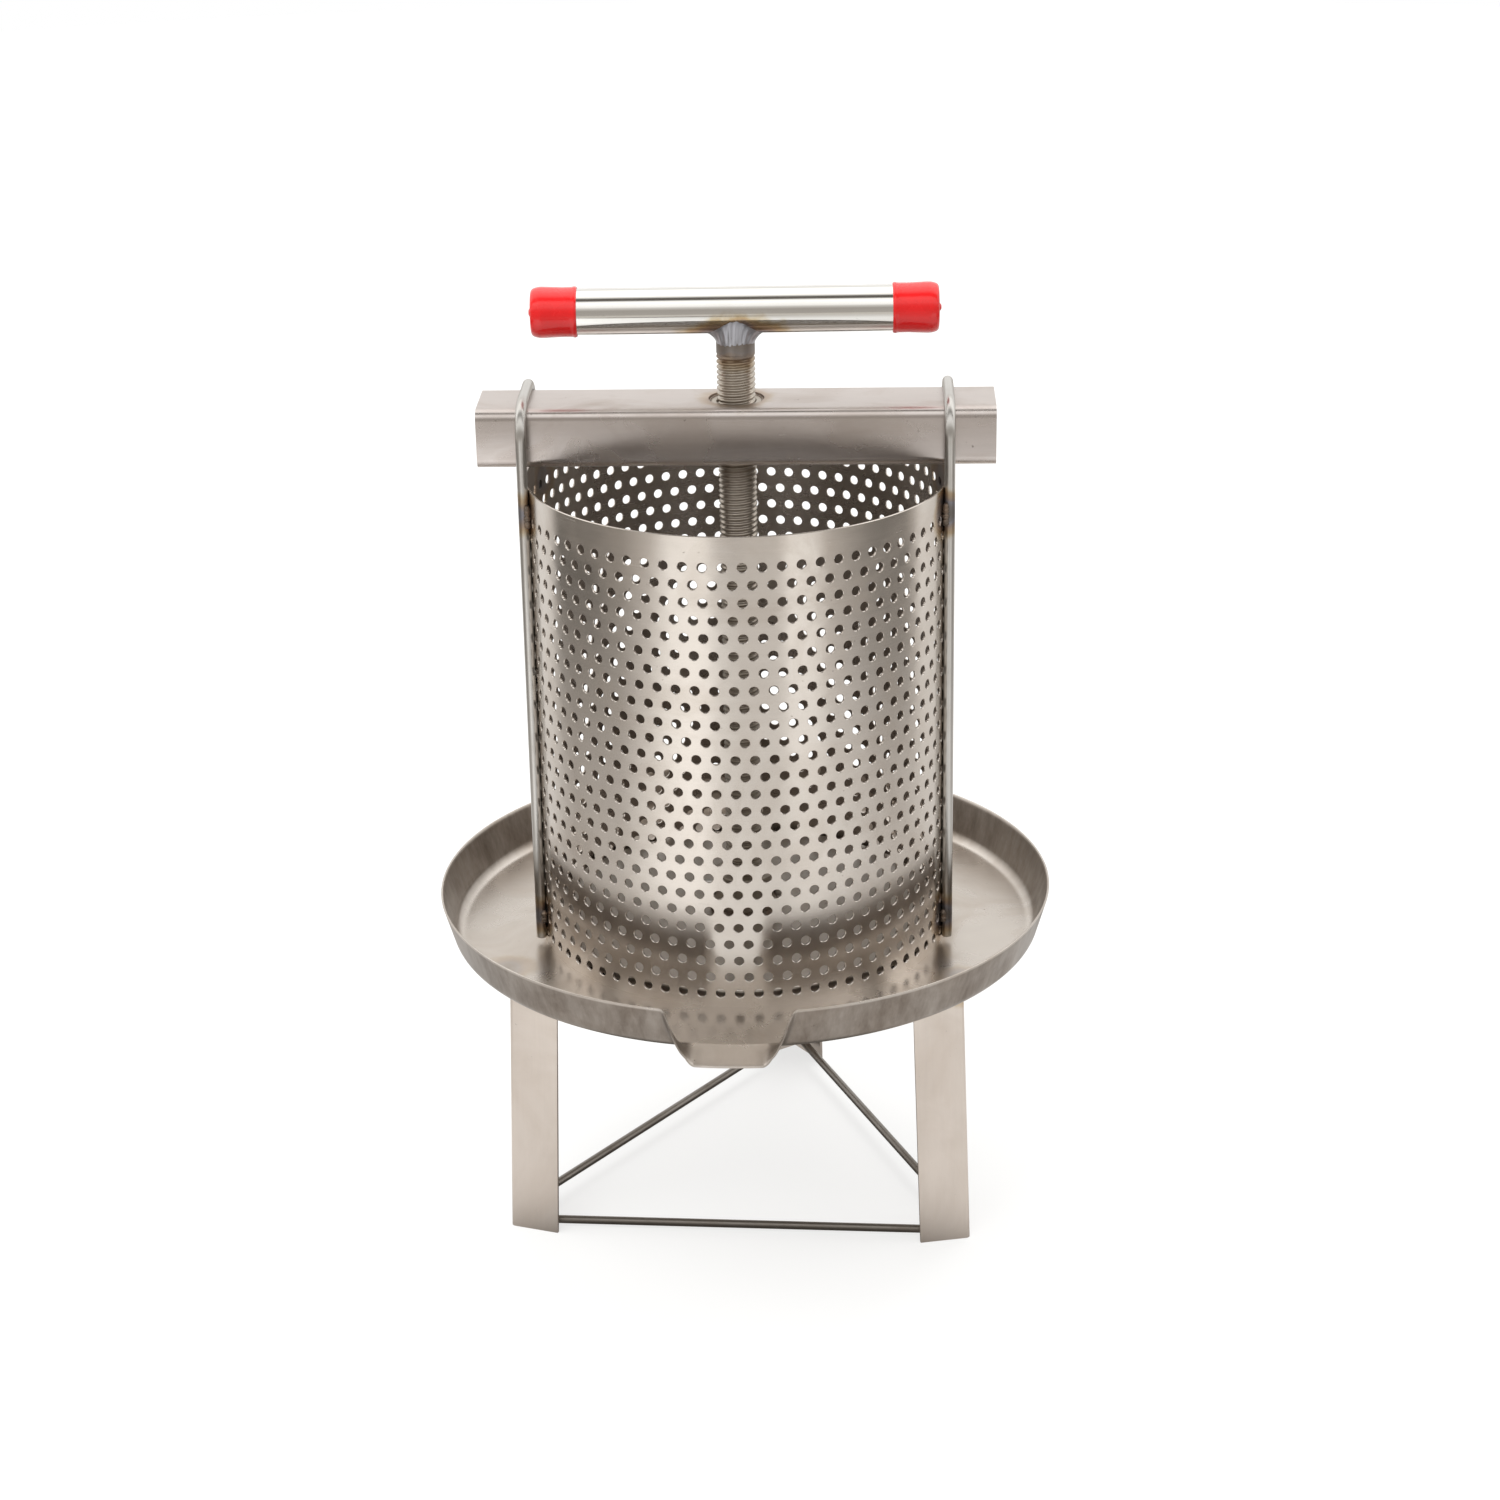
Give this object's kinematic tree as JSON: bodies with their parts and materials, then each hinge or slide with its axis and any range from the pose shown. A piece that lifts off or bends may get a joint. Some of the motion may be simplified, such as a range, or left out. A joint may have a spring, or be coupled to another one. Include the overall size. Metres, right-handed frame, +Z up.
{
  "type": "honey press",
  "caption": "Screw-type honey and wax press: perforated steel basket in a spouted drip tray on angle legs, with crossbeam, tee-handle screw and round press plate.",
  "frame": {"origin": "on the screw's axis at ground level, the middle of the footprint", "axes": "+Z up along the screw, -Y towards the pouring spout, +X to the right seen from the spout"},
  "size_m": [0.2984, 0.3026, 0.4592],
  "materials": {
    "sheet_steel": "satin stainless sheet",
    "rod_steel": "drawn stainless rod",
    "beam_steel": "satin rectangular tube and turned screw",
    "weld_bead": "heat-tinted weld",
    "tube_steel": "mirror-polished tube",
    "red_vinyl": "glossy dipped vinyl"
  },
  "bodies": {
    "stand": {"tray_pan": "sheet_steel", "pour_spout": "sheet_steel", "leg_front_left": "sheet_steel", "leg_front_right": "sheet_steel", "leg_rear": "sheet_steel", "leg_welds": "weld_bead", "tie_rod_front": "rod_steel", "tie_rod_left": "rod_steel", "tie_rod_right": "rod_steel", "tie_rod_welds": "weld_bead"},
    "basket": {"basket_shell": "sheet_steel", "basket_bottom": "sheet_steel", "basket_seam_weld": "weld_bead", "loop_left": "rod_steel", "loop_right": "rod_steel", "loop_welds_left": "weld_bead", "loop_welds_right": "weld_bead", "crossbeam": "beam_steel", "spindle_nut": "rod_steel", "nut_weld": "weld_bead"},
    "press": {"press_plate": "sheet_steel", "plate_socket": "rod_steel", "socket_weld": "weld_bead", "keeper_screws": "rod_steel"},
    "spindle": {"screw": "beam_steel", "handle_bar": "tube_steel", "handle_weld": "weld_bead", "handle_cap_left": "red_vinyl", "handle_cap_right": "red_vinyl"}
  },
  "joints": [
    {"name": "basket_lift", "type": "slide", "parent": "stand", "child": "basket", "axis": [0, 0, 1], "range_m": [0, 0.05]},
    {"name": "plate_feed", "type": "slide", "parent": "basket", "child": "press", "axis": [0, 0, 1], "range_m": [0, 0.2105]},
    {"name": "screw_turn", "type": "hinge", "parent": "press", "child": "spindle", "pos_m": [0, 0, 0.3], "axis": [0, 0, 1], "range_deg": [0, 30240]}
  ],
  "couplings": [
    {"joint": "plate_feed", "follows": "screw_turn", "m_per_rad": 0.00039789}
  ]
}
